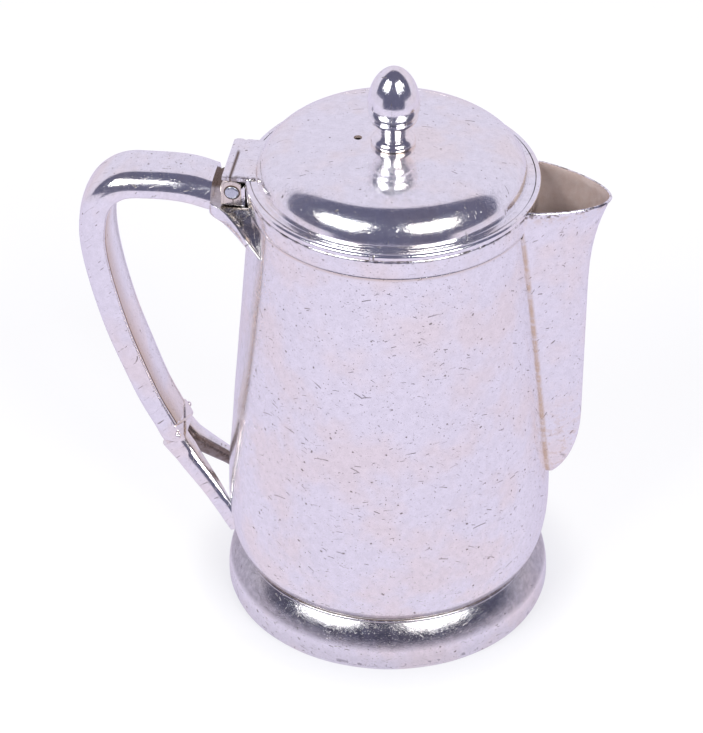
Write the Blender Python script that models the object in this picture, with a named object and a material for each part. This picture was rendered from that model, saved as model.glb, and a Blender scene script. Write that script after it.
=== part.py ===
"""Silver coffee pot with a hinged domed lid, an acorn finial, a V-shaped spout and a forked strap handle.

Run it with blender --background --python part.py. It leaves the whole pot, lid closed, in the scene.
The spout points along +X, the handle along -X, and the pot stands on the plane Z = 0.
"""

import math

import bmesh
import bpy
from mathutils import Matrix, Vector

MM = 0.001
GAP = 0.3 * MM

# Driving dimensions
FOOT_RADIUS = 48.0 * MM
FOOT_HEIGHT = 16.1 * MM
FOOT_BULGE_RADIUS = 48.6 * MM
FOOT_BULGE_HEIGHT = 3.0 * MM
FOOT_CURVE = 17.5 * MM
BODY_TOP = 135.6 * MM
BODY_TOP_RADIUS = 40.67 * MM
BODY_WAIST_RADIUS = 43.65 * MM
BODY_BULGE_HEIGHT = 33.0 * MM
BODY_CONE_START = 46.0 * MM
BODY_TAPER = 0.0776
WALL = 0.9 * MM
COLLAR_RADIUS = 41.75 * MM
COLLAR_INNER_RADIUS = 39.6 * MM
RIM_HEIGHT = 142.15 * MM
LID_RADIUS = 42.15 * MM
DOME_RADIUS = 38.6 * MM
DOME_BASE = 144.3 * MM
CROWN_RADIUS = 31.37 * MM
CROWN_DROP = 2.4 * MM
SHOULDER_CURVE = 9.3 * MM
DOME_TOP = 154.15 * MM
FINIAL_TOP = 179.0 * MM
SHANK_RADIUS = 2.0 * MM
PIN_X = -44.6 * MM
PIN_Z = 139.3 * MM
PIN_RADIUS = 1.5 * MM
HINGE_HALF_WIDTH = 10.4 * MM
HANDLE_REACH = 91.45 * MM
SPOUT_REACH = 62.7 * MM
SPOUT_HALF_WIDTH = 12.9 * MM
SPOUT_RIM = 143.3 * MM

# The pot's axis stands this far in front of the middle of its length.
AXIS_X = (HANDLE_REACH - SPOUT_REACH) / 2

ROUND_STEPS = 48
SMALL_ROUND_STEPS = 20


def clear_scene():
    for old in list(bpy.data.objects):
        bpy.data.objects.remove(old, do_unlink=True)


def metal(name, colour, roughness):
    material = bpy.data.materials.new(name)
    material.use_nodes = True
    shader = material.node_tree.nodes["Principled BSDF"]
    shader.inputs["Base Color"].default_value = (*colour, 1.0)
    shader.inputs["Metallic"].default_value = 1.0
    shader.inputs["Roughness"].default_value = roughness
    material.diffuse_color = (*colour, 1.0)
    return material


def add_empty(name, location, parent=None):
    empty = bpy.data.objects.new(name, None)
    empty.location = location
    empty.parent = parent
    bpy.context.scene.collection.objects.link(empty)
    return empty


def place(name, mesh, material, parent, location=(0.0, 0.0, 0.0)):
    """Links an object whose mesh is drawn about the pot's axis."""
    piece = bpy.data.objects.new(name, mesh)
    piece.data.materials.append(material)
    piece.parent = parent
    piece.location = location
    bpy.context.scene.collection.objects.link(piece)
    return piece


def as_helper(piece):
    piece.hide_render = True
    piece.display_type = "WIRE"
    return piece


def boolean(piece, other, operation):
    modifier = piece.modifiers.new(operation.lower() + "_" + other.name, "BOOLEAN")
    modifier.operation = operation
    modifier.solver = "EXACT"
    modifier.object = other
    return modifier


def turned_mesh(name, outline, closed):
    """A profile of (radius, height) points that runs down the outer side."""
    mesh = bpy.data.meshes.new(name)
    points = [(radius, 0.0, height) for radius, height in outline]
    edges = [(i, i + 1) for i in range(len(points) - 1)]
    if closed:
        edges.append((len(points) - 1, 0))
    mesh.from_pydata(points, edges, [])
    return mesh


def turn(piece, steps):
    screw = piece.modifiers.new("turn", "SCREW")
    screw.steps = steps
    screw.render_steps = steps
    screw.use_merge_vertices = True
    screw.merge_threshold = 0.0001 * MM
    screw.use_smooth_shade = True
    return piece


def turned(name, outline, material, parent, location=(0.0, 0.0, 0.0), steps=ROUND_STEPS, closed=True):
    piece = place(name, turned_mesh(name, outline, closed), material, parent, location)
    return turn(piece, steps)


def loft(name, loops, material, parent, location=(0.0, 0.0, 0.0)):
    """A closed solid through loops of points, each loop with the same count."""
    bm = bmesh.new()
    rings = [[bm.verts.new(point) for point in loop] for loop in loops]
    for near, far in zip(rings, rings[1:]):
        for i in range(len(near)):
            j = (i + 1) % len(near)
            bm.faces.new((near[i], near[j], far[j], far[i]))
    bm.faces.new(reversed(rings[0]))
    bm.faces.new(rings[-1])
    bmesh.ops.triangulate(bm, faces=[f for f in bm.faces if len(f.verts) > 4])
    bmesh.ops.recalc_face_normals(bm, faces=bm.faces)
    mesh = bpy.data.meshes.new(name)
    bm.to_mesh(mesh)
    bm.free()
    mesh.shade_smooth()
    mesh.set_sharp_from_angle(angle=math.radians(35))
    return place(name, mesh, material, parent, location)


def rod_y(name, radius, low_y, high_y, centre_x, centre_z, material, parent, location=(0.0, 0.0, 0.0)):
    """A round bar that lies along Y."""
    loops = []
    for y in (low_y, high_y):
        loop = []
        for i in range(SMALL_ROUND_STEPS):
            turn_angle = 2 * math.pi * i / SMALL_ROUND_STEPS
            x = centre_x + radius * math.cos(turn_angle)
            loop.append((x, y, centre_z + radius * math.sin(turn_angle)))
        loops.append(loop)
    return loft(name, loops, material, parent, location)


def slab(name, plan, low_z, high_z, material, parent, location=(0.0, 0.0, 0.0)):
    """A flat plate with the outline plan, a list of (x, y)."""
    loops = [[(x, y, z) for x, y in plan] for z in (low_z, high_z)]
    return loft(name, loops, material, parent, location)


def smooth_path(points, per_span):
    """A Catmull-Rom curve through the points."""
    ends = [2 * points[0] - points[1], *points, 2 * points[-1] - points[-2]]
    path = []
    for before, start, end, after in zip(ends, ends[1:], ends[2:], ends[3:]):
        for step in range(per_span):
            t = step / per_span
            path.append(
                0.5
                * (
                    2 * start
                    + (end - before) * t
                    + (2 * before - 5 * start + 4 * end - after) * t**2
                    + (3 * start - before - 3 * end + after) * t**3
                )
            )
    path.append(points[-1])
    return path


def blend(stations, t):
    """Reads a value at t from (position, value) stations, straight between them."""
    for (start, low), (end, high) in zip(stations, stations[1:]):
        if t <= end:
            return low + (high - low) * (t - start) / (end - start)
    return stations[-1][1]


# Body and foot


def body_radius(height):
    """Outer radius of the wall: a quarter ellipse, then a parabola that runs into a straight cone."""
    cone_radius = BODY_TOP_RADIUS + BODY_TAPER * (BODY_TOP - height)
    if height >= BODY_CONE_START:
        return cone_radius
    span = BODY_CONE_START - BODY_BULGE_HEIGHT
    at_start = BODY_TOP_RADIUS + BODY_TAPER * (BODY_TOP - BODY_CONE_START)
    bulge_radius = at_start + BODY_TAPER * span / 2
    if height >= BODY_BULGE_HEIGHT:
        return bulge_radius - BODY_TAPER / (2 * span) * (height - BODY_BULGE_HEIGHT) ** 2
    drop = (BODY_BULGE_HEIGHT - height) / (BODY_BULGE_HEIGHT - FOOT_HEIGHT)
    return BODY_WAIST_RADIUS + (bulge_radius - BODY_WAIST_RADIUS) * math.sqrt(max(0.0, 1 - drop**2))


BODY_HEIGHTS = [BODY_TOP, 90 * MM, BODY_CONE_START, 39 * MM, BODY_BULGE_HEIGHT]
BODY_HEIGHTS += [27 * MM, 21.5 * MM, 18.2 * MM, 16.4 * MM]


def make_strainer_cutter(parent, material):
    """Round holes in the wall behind the spout, in five staggered rows."""
    hole_radius = 1.5 * MM
    pitch = 3.8 * MM
    bm = bmesh.new()
    for row, holes in enumerate((2, 3, 4, 3, 4)):
        for hole in range(holes):
            made = bmesh.ops.create_cone(
                bm, cap_ends=True, segments=8, radius1=hole_radius, radius2=hole_radius, depth=12 * MM
            )
            bmesh.ops.rotate(bm, verts=made["verts"], matrix=Matrix.Rotation(math.pi / 2, 3, "Y"))
            centre = Vector((43.5 * MM, pitch * (hole - (holes - 1) / 2), (78 + 10 * row) * MM))
            bmesh.ops.translate(bm, verts=made["verts"], vec=centre)
    mesh = bpy.data.meshes.new("strainer_cutter")
    bm.to_mesh(mesh)
    bm.free()
    return as_helper(place("strainer_cutter", mesh, material, parent))


def make_body(axis, silver):
    outer = [(body_radius(height), height) for height in BODY_HEIGHTS]
    outer.append((BODY_WAIST_RADIUS - 0.15 * MM, 15.6 * MM))
    inner = [(radius - WALL, height) for radius, height in reversed(outer)]
    shell = turned("body_shell", outer + inner, silver, axis)
    boolean(shell, make_strainer_cutter(axis, silver), "DIFFERENCE")
    collar = [
        (COLLAR_RADIUS - 0.3 * MM, RIM_HEIGHT),
        (COLLAR_RADIUS, RIM_HEIGHT - 0.4 * MM),
        (COLLAR_RADIUS - 0.1 * MM, 139 * MM),
        (COLLAR_RADIUS - 0.35 * MM, 136.8 * MM),
        (COLLAR_RADIUS - 0.6 * MM, BODY_TOP + GAP),
        (COLLAR_INNER_RADIUS, BODY_TOP + GAP),
        (COLLAR_INNER_RADIUS, RIM_HEIGHT),
    ]
    turned("body_collar", collar, silver, axis)
    plate_radius = body_radius(16.4 * MM) - WALL - 0.4 * MM
    plate = [
        (0.0, 19.0 * MM),
        (30 * MM, 18.6 * MM),
        (plate_radius, 17.7 * MM),
        (plate_radius, 16.7 * MM),
        (30 * MM, 17.6 * MM),
        (0.0, 18.0 * MM),
    ]
    turned("base_plate", plate, silver, axis, closed=False)


def foot_radius(height):
    """Outer radius of the foot: upright near the floor, then one long arc in towards the body."""
    rise = max(0.0, height - FOOT_BULGE_HEIGHT)
    return FOOT_BULGE_RADIUS - FOOT_CURVE + math.sqrt(FOOT_CURVE**2 - rise**2)


def make_foot(axis, silver):
    heights = [14.6 * MM, 13.4 * MM, 11.6 * MM, 9 * MM, FOOT_BULGE_HEIGHT, 1.6 * MM]
    outer = [(foot_radius(height), height) for height in heights]
    inner = [(radius - 1.0 * MM, height - 0.5 * MM) for radius, height in reversed(outer[1:-1])]
    outer.append((foot_radius(1.6 * MM) - 1.0 * MM, 1.6 * MM))
    outer_top = (foot_radius(14.6 * MM) - 1.0 * MM, 13.9 * MM)
    turned("foot_ring", outer + inner + [outer_top], silver, axis)
    bead_radius = 0.55 * MM
    bead = []
    for i in range(6):
        turn_angle = math.pi / 2 - 2 * math.pi * i / 6
        bead.append(
            (44.35 * MM + bead_radius * math.cos(turn_angle), 15.45 * MM + bead_radius * math.sin(turn_angle))
        )
    turned("foot_bead", bead, silver, axis)
    wire = [
        (FOOT_RADIUS - 1.1 * MM, 1.3 * MM),
        (FOOT_RADIUS + 0.1 * MM, 1.3 * MM),
        (FOOT_RADIUS + 0.2 * MM, 0.7 * MM),
        (FOOT_RADIUS, 0.0),
        (FOOT_RADIUS - 1.4 * MM, 0.0),
        (FOOT_RADIUS - 1.4 * MM, 0.9 * MM),
    ]
    turned("foot_rim_wire", wire, silver, axis)


def make_clear_of_body(axis, silver):
    """The space the body, collar and lid take, with a thin gap. It cuts what is soldered to them."""
    outline = [(0.0, 150 * MM), (LID_RADIUS + 0.45 * MM, 150 * MM), (LID_RADIUS + 0.45 * MM, 141.8 * MM)]
    outline += [(COLLAR_RADIUS + GAP, 141.8 * MM), (COLLAR_RADIUS + GAP, BODY_TOP)]
    outline += [(body_radius(height) + GAP, height) for height in BODY_HEIGHTS]
    outline += [(BODY_WAIST_RADIUS + GAP, FOOT_HEIGHT), (0.0, FOOT_HEIGHT)]
    return as_helper(turned("clear_of_body", outline, silver, axis, closed=False))


# Spout


def spout_reach(height):
    """How far the keel stands from the pot's axis: upright, flared at the lip and rounded at the foot."""
    keel = 56.9 * MM
    if height > 110 * MM:
        return keel + (SPOUT_REACH - keel) * ((height - 110 * MM) / (SPOUT_RIM - 110 * MM)) ** 2.6
    if height < 66 * MM:
        drop = min(1.0, (66 * MM - height) / (24.5 * MM))
        return keel - 9.5 * MM * (1 - math.sqrt(1 - drop**2))
    return keel


def spout_half_width(height):
    at_join = 4.1 * MM + 0.122 * (height - 61.4 * MM)
    return max(0.6 * MM, min(SPOUT_HALF_WIDTH, at_join))


def spout_loop(height, sink, inset, points):
    """A level section: straight sides that close in a round keel. It starts sink inside the wall."""
    half_width = max(0.25 * MM, spout_half_width(height) - inset)
    wall_radius = COLLAR_RADIUS if height > BODY_TOP else body_radius(height)
    root = math.sqrt(wall_radius**2 - half_width**2) - sink
    reach = spout_reach(height) - inset - root
    side = []
    for i in range(points + 1):
        turn_angle = math.pi / 2 * i / points
        along = math.sin(turn_angle)
        across = math.sqrt(1 - along**1.3)
        side.append((root + reach * along, half_width * across))
    loop = [(x, -y, height) for x, y in side]
    loop += [(x, y, height) for x, y in reversed(side[:-1])]
    return loop


def make_spout(axis, silver, clear_of_body):
    heights = [44, 46, 49, 53, 59, 66, 90, 110, 120, 128, 134, 139, 143.3]
    loops = [spout_loop(height * MM, 1.5 * MM, 0.0, 7) for height in heights]
    spout = loft("spout_shell", loops, silver, axis)
    inner_heights = [50, 54, 60, 67, 90, 110, 120, 128, 134, 139, 144.3]
    inner_loops = [spout_loop(height * MM, 4 * MM, WALL, 7) for height in inner_heights]
    channel = as_helper(loft("spout_channel", inner_loops, silver, axis))
    boolean(spout, channel, "DIFFERENCE")
    boolean(spout, clear_of_body, "DIFFERENCE")


# Handle

# The inner face of the handle, from the hinge round to the fork, as (x, z) in the handle's plane.
STRAP_ROUTE = [
    Vector((x * MM, z * MM))
    for x, z in (
        (-51.4, 131.3),
        (-60, 133.6),
        (-70, 133.8),
        (-78.6, 131.3),
        (-82.3, 123.4),
        (-82.5, 114),
        (-80.7, 102),
        (-77, 86.8),
        (-72.7, 73.7),
        (-68, 60.8),
        (-63.1, 50.6),
    )
]
FORK_ROUTE = [
    Vector((x * MM, z * MM))
    for x, z in (
        (-61.5, 47.5),
        (-59.1, 43.8),
        (-55.9, 39.7),
        (-52, 35.2),
        (-48.4, 30.8),
        (-45.2, 26),
        (-42.5, 21),
    )
]
THICKNESS = [(0, 8.4 * MM), (0.2, 8.1 * MM), (0.4, 8.82 * MM), (0.65, 8.6 * MM), (1, 8.0 * MM)]
STRAP_POWER = 2.8
HALF_WIDTH = [(0, 9.2 * MM), (0.25, 9.9 * MM), (0.45, 9.3 * MM), (0.75, 7.9 * MM), (1, 7.2 * MM)]


def d_section(centre, outward, middle_y, half_width, thickness, lift=0.0, points=7, power=2.0):
    """A loop with a flat inner face and a round outer side. A higher power gives a flatter back."""
    loop = []
    for i in range(points + 1):
        turn_angle = math.pi * i / points
        sideways = math.cos(turn_angle)
        across = math.copysign(abs(sideways) ** (2 / power), sideways)
        out = lift + max(0.0, thickness - lift) * abs(math.sin(turn_angle)) ** (2 / power)
        spot = centre + outward * out
        loop.append((spot.x, middle_y - half_width * across, spot.y))
    return loop


def outward_normals(path):
    normals = []
    for i in range(len(path)):
        along = (path[min(i + 1, len(path) - 1)] - path[max(i - 1, 0)]).normalized()
        normals.append(Vector((along.y, -along.x)))
    return normals


def make_strap(axis, silver):
    """A hollow round-backed channel, closed on its inner side by a flat cover strip."""
    path = smooth_path(STRAP_ROUTE, 3)
    normals = outward_normals(path)
    normals[0] = Vector((0.0, 1.0))
    normals[1] = (normals[0] + normals[1]).normalized()
    last = len(path) - 1
    cover_thickness = 1.0 * MM
    channel_loops = []
    hollow_loops = []
    cover_loops = []
    for i, (centre, outward) in enumerate(zip(path, normals)):
        half_width = blend(HALF_WIDTH, i / last)
        thickness = blend(THICKNESS, i / last)
        lift = cover_thickness + GAP
        channel_loops.append(d_section(centre, outward, 0.0, half_width, thickness, lift, 9, STRAP_POWER))
        if 0 < i < last:
            half_room, room = half_width - 1.2 * MM, thickness - 1.2 * MM
            hollow_loops.append(d_section(centre, outward, 0.0, half_room, room, 0.0, 9, STRAP_POWER))
        cover_loop = []
        for y, out in ((-1, 0.0), (-1, cover_thickness), (1, cover_thickness), (1, 0.0)):
            spot = centre + outward * out
            cover_loop.append((spot.x, y * half_width, spot.y))
        cover_loops.append(cover_loop)
    channel = loft("handle_shell", channel_loops, silver, axis)
    hollow = as_helper(loft("handle_hollow", hollow_loops, silver, axis))
    boolean(channel, hollow, "DIFFERENCE")
    loft("handle_cover_strip", cover_loops, silver, axis)


def make_handle_wrap(axis, silver):
    """The cast band where the strap ends and the fork begins, with a small bead on each side."""
    top = STRAP_ROUTE[-1]
    along = (FORK_ROUTE[0] - top).normalized()
    outward = Vector((along.y, -along.x))
    loops = []
    length = (FORK_ROUTE[0] - top).length - 2 * GAP
    for share, swell in ((0.0, 0.2 * MM), (0.3, 0.6 * MM), (0.7, 0.6 * MM), (1.0, 0.2 * MM)):
        centre = top + along * (GAP + length * share) - outward * swell
        half_width, thickness = 7.2 * MM + swell, 8.0 * MM + 2 * swell
        loops.append(d_section(centre, outward, 0.0, half_width, thickness, 0.0, 9, STRAP_POWER))
    loft("handle_wrap", loops, silver, axis)
    middle = top + along * (GAP + length / 2) + outward * 1.6 * MM
    for name, side in (("handle_bead_front", -1), ("handle_bead_rear", 1)):
        mesh = bpy.data.meshes.new(name)
        bm = bmesh.new()
        bmesh.ops.create_uvsphere(bm, u_segments=10, v_segments=6, radius=1.1 * MM)
        bmesh.ops.translate(bm, verts=bm.verts, vec=(middle.x, side * (7.8 + 1.4) * MM, middle.y))
        bm.to_mesh(mesh)
        bm.free()
        mesh.shade_smooth()
        place(name, mesh, silver, axis)


def make_prong(name, side, axis, silver, clear_of_body):
    """One arm of the fork: it leaves the wrap, spreads sideways and lands on the body in a point."""
    path = smooth_path(FORK_ROUTE, 2)
    normals = outward_normals(path)
    last = len(path) - 1
    middles = [(0, 3.7 * MM), (0.2, 4.1 * MM), (0.45, 7.4 * MM), (0.7, 10.6 * MM), (1, 13.2 * MM)]
    half_widths = [(0, 3.4 * MM), (0.2, 3.2 * MM), (0.45, 2.5 * MM), (0.7, 1.7 * MM), (1, 0.7 * MM)]
    thicknesses = [(0, 7.8 * MM), (0.35, 6.6 * MM), (0.7, 5.4 * MM), (1, 4.4 * MM)]
    loops = []
    for i, (centre, outward) in enumerate(zip(path, normals)):
        t = i / last
        loops.append(
            d_section(centre, outward, side * blend(middles, t), blend(half_widths, t), blend(thicknesses, t))
        )
    prong = loft(name, loops, silver, axis)
    boolean(prong, clear_of_body, "DIFFERENCE")


def make_saddle(axis, silver, clear_of_body):
    """The cast upper mount: it carries the hinge and spreads round the body in two points."""
    root_x = -30 * MM
    outer_x = STRAP_ROUTE[0].x + GAP
    seat_z = 134.5 * MM
    flat_half = 9.2 * MM
    tip_half = 24.5 * MM
    outs = [(0, 0.0), (0.18, 4.4 * MM), (0.45, 8.2 * MM), (0.7, 12.0 * MM), (1, 18.2 * MM)]
    lows = [(0, 131.0 * MM), (0.2, 129.6 * MM), (0.5, 128.4 * MM), (0.75, 127.4 * MM), (1, 125.8 * MM)]
    rises = [(0, 3.4 * MM), (0.2, 4.2 * MM), (0.5, 3.4 * MM), (0.8, 2.2 * MM), (1, 0.9 * MM)]
    loops = []
    for y_mm in (-24.5, -22.5, -19.5, -16, -12.5, -10.5, -9.2, 9.2, 10.5, 12.5, 16, 19.5, 22.5, 24.5):
        y = y_mm * MM
        spread = (abs(y) - flat_half) / (tip_half - flat_half)
        out_x = outer_x + blend(outs, spread)
        low_z = blend(lows, spread)
        high_z = min(seat_z, low_z + blend(rises, spread))
        ease = 0.25 * (high_z - low_z)
        loops.append(
            [
                (out_x + ease, y, low_z),
                (root_x, y, low_z),
                (root_x, y, high_z),
                (out_x + ease, y, high_z),
                (out_x, y, high_z - ease),
                (out_x, y, low_z + ease),
            ]
        )
    saddle = loft("handle_saddle", loops, silver, axis)
    boolean(saddle, clear_of_body, "DIFFERENCE")


# Hinge


def make_body_knuckle(name, low_y, high_y, axis, silver, pin_clearance):
    """A squared block with a round crown that holds one end of the pin."""
    crown = 3.7 * MM
    left, right = -3.3 * MM, 2.6 * MM
    foot_z = 134.8 * MM - PIN_Z
    outline = [(left, foot_z)]
    start = math.acos(left / crown)
    end = math.acos(right / crown)
    for i in range(9):
        turn_angle = start + (end - start) * i / 8
        outline.append((crown * math.cos(turn_angle), crown * math.sin(turn_angle)))
    outline.append((right, foot_z))
    loops = [[(PIN_X + x, y, PIN_Z + z) for x, z in outline] for y in (low_y, high_y)]
    block = loft(name, loops, silver, axis)
    boolean(block, pin_clearance, "DIFFERENCE")


def leaf_plan(near_radius, half_width, outer_x):
    """The lid leaf's outline: its inner edge follows the dome, its outer corners are eased."""
    ease = 0.8 * MM
    half_angle = math.asin(half_width / near_radius)
    plan = [(outer_x, -half_width + ease), (outer_x + ease, -half_width)]
    for i in range(7):
        turn_angle = math.pi + half_angle * (1 - 2 * i / 6)
        plan.append((near_radius * math.cos(turn_angle), near_radius * math.sin(turn_angle)))
    plan += [(outer_x + ease, half_width), (outer_x, half_width - ease)]
    return plan


def make_lid_leaf(lid_axis, lid_place, silver, pin_clearance):
    """The lid's hinge leaf: a plate over the pin, with the middle knuckle under it."""
    plan = leaf_plan(39.0 * MM, HINGE_HALF_WIDTH, PIN_X - 2.9 * MM)
    leaf = slab("lid_hinge_leaf", plan, 143.3 * MM, 144.7 * MM, silver, lid_axis, lid_place)
    barrel = as_helper(
        rod_y("leaf_barrel", 2.6 * MM, -5.6 * MM, 5.6 * MM, PIN_X, PIN_Z, silver, lid_axis, lid_place)
    )
    neck_plan = [(-1.7, -5.5), (1.7, -5.5), (1.7, 5.5), (-1.7, 5.5)]
    neck_plan = [(PIN_X + x * MM, y * MM) for x, y in neck_plan]
    neck = as_helper(slab("leaf_neck", neck_plan, PIN_Z + 1 * MM, 143.6 * MM, silver, lid_axis, lid_place))
    boolean(leaf, neck, "UNION")
    boolean(leaf, barrel, "UNION")
    boolean(leaf, pin_clearance, "DIFFERENCE")


def make_hinge(axis, lid_axis, lid_place, silver, steel):
    pin_clearance = as_helper(
        rod_y("pin_clearance", PIN_RADIUS + GAP, -20 * MM, 20 * MM, PIN_X, PIN_Z, silver, axis)
    )
    make_body_knuckle("hinge_knuckle_front", -10.1 * MM, -6.0 * MM, axis, silver, pin_clearance)
    make_body_knuckle("hinge_knuckle_rear", 6.0 * MM, 10.1 * MM, axis, silver, pin_clearance)
    rod_y("hinge_pin", PIN_RADIUS, -10.4 * MM, 10.4 * MM, PIN_X, PIN_Z, steel, axis)
    make_lid_leaf(lid_axis, lid_place, silver, pin_clearance)


# Lid


def dome_height(radius, inset=0.0):
    """Height of the lid: a shallow crown that turns down over a round shoulder. inset gives its inner side."""
    if radius <= CROWN_RADIUS:
        return DOME_TOP - inset - CROWN_DROP * (radius / CROWN_RADIUS) ** 2.6
    centre_radius = DOME_RADIUS - SHOULDER_CURVE + 0.15 * MM
    centre_height = DOME_BASE - 1.65 * MM
    curve = SHOULDER_CURVE - inset
    return centre_height + math.sqrt(curve**2 - (radius - centre_radius) ** 2)


def make_lid(lid_axis, lid_place, silver):
    hole_radius = SHANK_RADIUS + GAP
    flange_radius = LID_RADIUS - 1.45 * MM
    crown_radii = [hole_radius, 13 * MM, 24 * MM, CROWN_RADIUS]
    outer_radii = crown_radii + [34.5 * MM, 37 * MM, 38.2 * MM, DOME_RADIUS]
    inner_radii = crown_radii + [34.2 * MM, 36.4 * MM, 37.4 * MM, DOME_RADIUS - WALL]
    outer = [(radius, dome_height(radius)) for radius in outer_radii]
    flange = [(flange_radius, DOME_BASE - 0.1 * MM), (flange_radius, 142.75 * MM)]
    inner = [(DOME_RADIUS - WALL, 142.75 * MM)]
    inner += [(radius, dome_height(radius, WALL)) for radius in reversed(inner_radii)]
    dome = turned("lid_dome", outer + flange + inner, silver, lid_axis, lid_place)
    vent_outline = [(0.0, 160 * MM), (1.15 * MM, 160 * MM), (1.15 * MM, 148 * MM), (0.0, 148 * MM)]
    vent = turned_mesh("vent_cutter", vent_outline, False)
    vent_place = Vector(lid_place) + Vector((-10.2 * MM, 0.9 * MM, 0.0))
    vent_cutter = as_helper(turn(place("vent_cutter", vent, silver, lid_axis, vent_place), 10))
    boolean(dome, vent_cutter, "DIFFERENCE")

    rim = [
        (LID_RADIUS - 0.5 * MM, 144.1 * MM),
        (LID_RADIUS, 143.6 * MM),
        (LID_RADIUS, 142.9 * MM),
        (LID_RADIUS - 0.4 * MM, 142.45 * MM),
        (flange_radius + GAP, 142.45 * MM),
        (flange_radius + GAP, 144.1 * MM),
    ]
    rim_wire = turned("lid_rim_wire", rim, silver, lid_axis, lid_place)
    notch_plan = leaf_plan(38.7 * MM, HINGE_HALF_WIDTH + GAP, -50 * MM)
    notch = as_helper(slab("leaf_notch", notch_plan, 141 * MM, 147 * MM, silver, lid_axis, lid_place))
    boolean(dome, notch, "DIFFERENCE")
    boolean(rim_wire, notch, "DIFFERENCE")

    # The lid tips about a pin just outside the rim, so its inner ring needs room at the back.
    bezel_radius = COLLAR_INNER_RADIUS - 0.95 * MM
    bezel = [
        (bezel_radius, 142.45 * MM),
        (bezel_radius, 137.4 * MM),
        (bezel_radius - 0.3 * MM, 136.6 * MM),
        (bezel_radius - 1.0 * MM, 136.6 * MM),
        (bezel_radius - 1.0 * MM, 142.45 * MM),
    ]
    turned("lid_bezel", bezel, silver, lid_axis, lid_place)


def make_finial(lid_axis, lid_place, silver, steel):
    acorn_base = 163.9 * MM
    widest = 167.0 * MM
    acorn_radius = 7.5 * MM
    acorn = [(0.0, FINIAL_TOP)]
    for i in range(1, 7):
        turn_angle = math.pi / 2 * (1 - i / 6)
        rise = (FINIAL_TOP - widest) * math.sin(turn_angle)
        acorn.append((acorn_radius * math.cos(turn_angle) ** 1.15, widest + rise))
    acorn += [(6.9 * MM, acorn_base), (0.0, acorn_base)]
    turned("finial_acorn", acorn, silver, lid_axis, lid_place, SMALL_ROUND_STEPS, closed=False)
    profile = (
        (0, 163.6),
        (6.8, 163.6),
        (6.3, 161.9),
        (4.3, 160.0),
        (4.1, 159.3),
        (4.45, 158.9),
        (4.4, 158.2),
        (4.1, 157.6),
        (4.9, 156.4),
        (6.0, 155.2),
        (5.9, 154.55),
        (2.0, 154.55),
        (2.0, 147.8),
        (0, 147.8),
    )
    stem = [(radius * MM, height * MM) for radius, height in profile]
    turned("finial_stem", stem, silver, lid_axis, lid_place, SMALL_ROUND_STEPS, closed=False)
    washer_top = 152.6 * MM
    washer = [(5.6, 0), (5.6, -0.9), (2.3, -0.9), (2.3, 0)]
    washer = [(radius * MM, washer_top + drop * MM) for radius, drop in washer]
    turned("finial_washer", washer, silver, lid_axis, lid_place, SMALL_ROUND_STEPS)
    nut = [(4.2, -1.2), (4.2, -3.8), (2.3, -3.8), (2.3, -1.2)]
    nut = [(radius * MM, washer_top + drop * MM) for radius, drop in nut]
    turned("finial_nut", nut, steel, lid_axis, lid_place, 6)


def main():
    clear_scene()
    silver = metal("silver", (0.83, 0.80, 0.84), 0.28)
    bright_silver = metal("bright_silver", (0.86, 0.84, 0.87), 0.14)
    steel = metal("pin_metal", (0.60, 0.57, 0.56), 0.4)
    axis = add_empty("pot_axis", (AXIS_X, 0.0, 0.0))
    lid_axis = add_empty("lid_hinge_axis", (PIN_X, 0.0, PIN_Z), axis)
    lid_place = (-PIN_X, 0.0, -PIN_Z)
    make_body(axis, silver)
    make_foot(axis, silver)
    clear_of_body = make_clear_of_body(axis, silver)
    make_spout(axis, silver, clear_of_body)
    make_strap(axis, silver)
    make_handle_wrap(axis, silver)
    make_prong("handle_prong_front", -1, axis, silver, clear_of_body)
    make_prong("handle_prong_rear", 1, axis, silver, clear_of_body)
    make_saddle(axis, silver, clear_of_body)
    make_hinge(axis, lid_axis, lid_place, silver, steel)
    make_lid(lid_axis, lid_place, silver)
    make_finial(lid_axis, lid_place, bright_silver, steel)


main()
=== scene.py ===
"""Looks for the silver coffee pot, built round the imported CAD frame. Metres, +Z up, spout towards +X."""

import math

import bmesh
import bpy
from mathutils import Matrix, Vector, noise


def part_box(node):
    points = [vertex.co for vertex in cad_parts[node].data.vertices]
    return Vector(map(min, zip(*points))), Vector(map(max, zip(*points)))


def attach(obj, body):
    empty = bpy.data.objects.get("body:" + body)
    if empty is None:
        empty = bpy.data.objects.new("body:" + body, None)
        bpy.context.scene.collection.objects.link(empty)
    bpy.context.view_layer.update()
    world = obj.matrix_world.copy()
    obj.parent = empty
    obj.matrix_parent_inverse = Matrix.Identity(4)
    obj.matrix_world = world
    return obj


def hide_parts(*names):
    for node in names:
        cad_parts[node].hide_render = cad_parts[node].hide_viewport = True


MM = 0.001

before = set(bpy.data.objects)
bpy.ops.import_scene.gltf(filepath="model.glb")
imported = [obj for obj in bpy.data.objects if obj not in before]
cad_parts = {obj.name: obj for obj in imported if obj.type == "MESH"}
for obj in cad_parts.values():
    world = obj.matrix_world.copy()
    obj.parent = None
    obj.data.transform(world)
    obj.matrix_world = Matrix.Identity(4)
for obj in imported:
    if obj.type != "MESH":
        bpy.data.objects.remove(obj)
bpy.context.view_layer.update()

shell_low, shell_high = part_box("body_shell")
AXIS_X = (shell_low.x + shell_high.x) / 2
pin_low, pin_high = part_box("hinge_pin")
PIN_X = ((pin_low.x + pin_high.x) / 2 - AXIS_X) / MM
PIN_Z = (pin_low.z + pin_high.z) / 2 / MM

# ---------------------------------------------------------------- mesh making


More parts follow.
